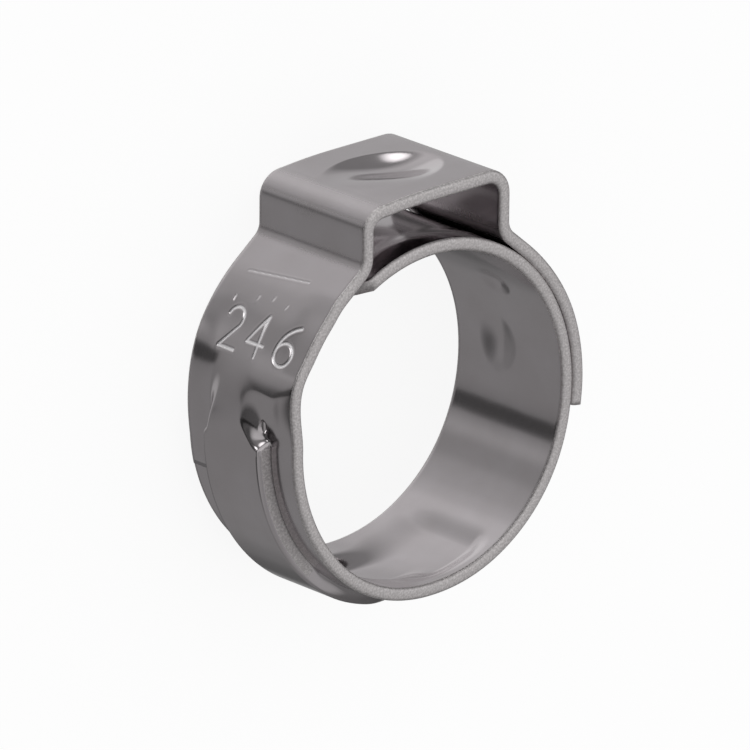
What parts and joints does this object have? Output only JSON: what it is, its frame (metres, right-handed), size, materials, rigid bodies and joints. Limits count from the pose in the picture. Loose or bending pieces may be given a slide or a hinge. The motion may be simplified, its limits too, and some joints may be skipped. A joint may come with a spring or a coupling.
{
  "type": "ear hose clamp",
  "caption": "Narrow steel band clamp with a raised crimping ear, a tongue sliding in a tunnel, and an overlapped outer end held by pressed hooks.",
  "frame": {"origin": "centre of the bore, at half the width of the band", "axes": "+Z along the bore axis; +Y from the bore towards the ear; +X towards the side where the outer band laps over the inner one"},
  "size_m": [0.0178, 0.0196, 0.007],
  "materials": {
    "steel": "rolled stainless steel, satin, with matte sheared edges"
  },
  "bodies": {
    "root": {"clamp_band": "steel"}
  },
  "joints": []
}
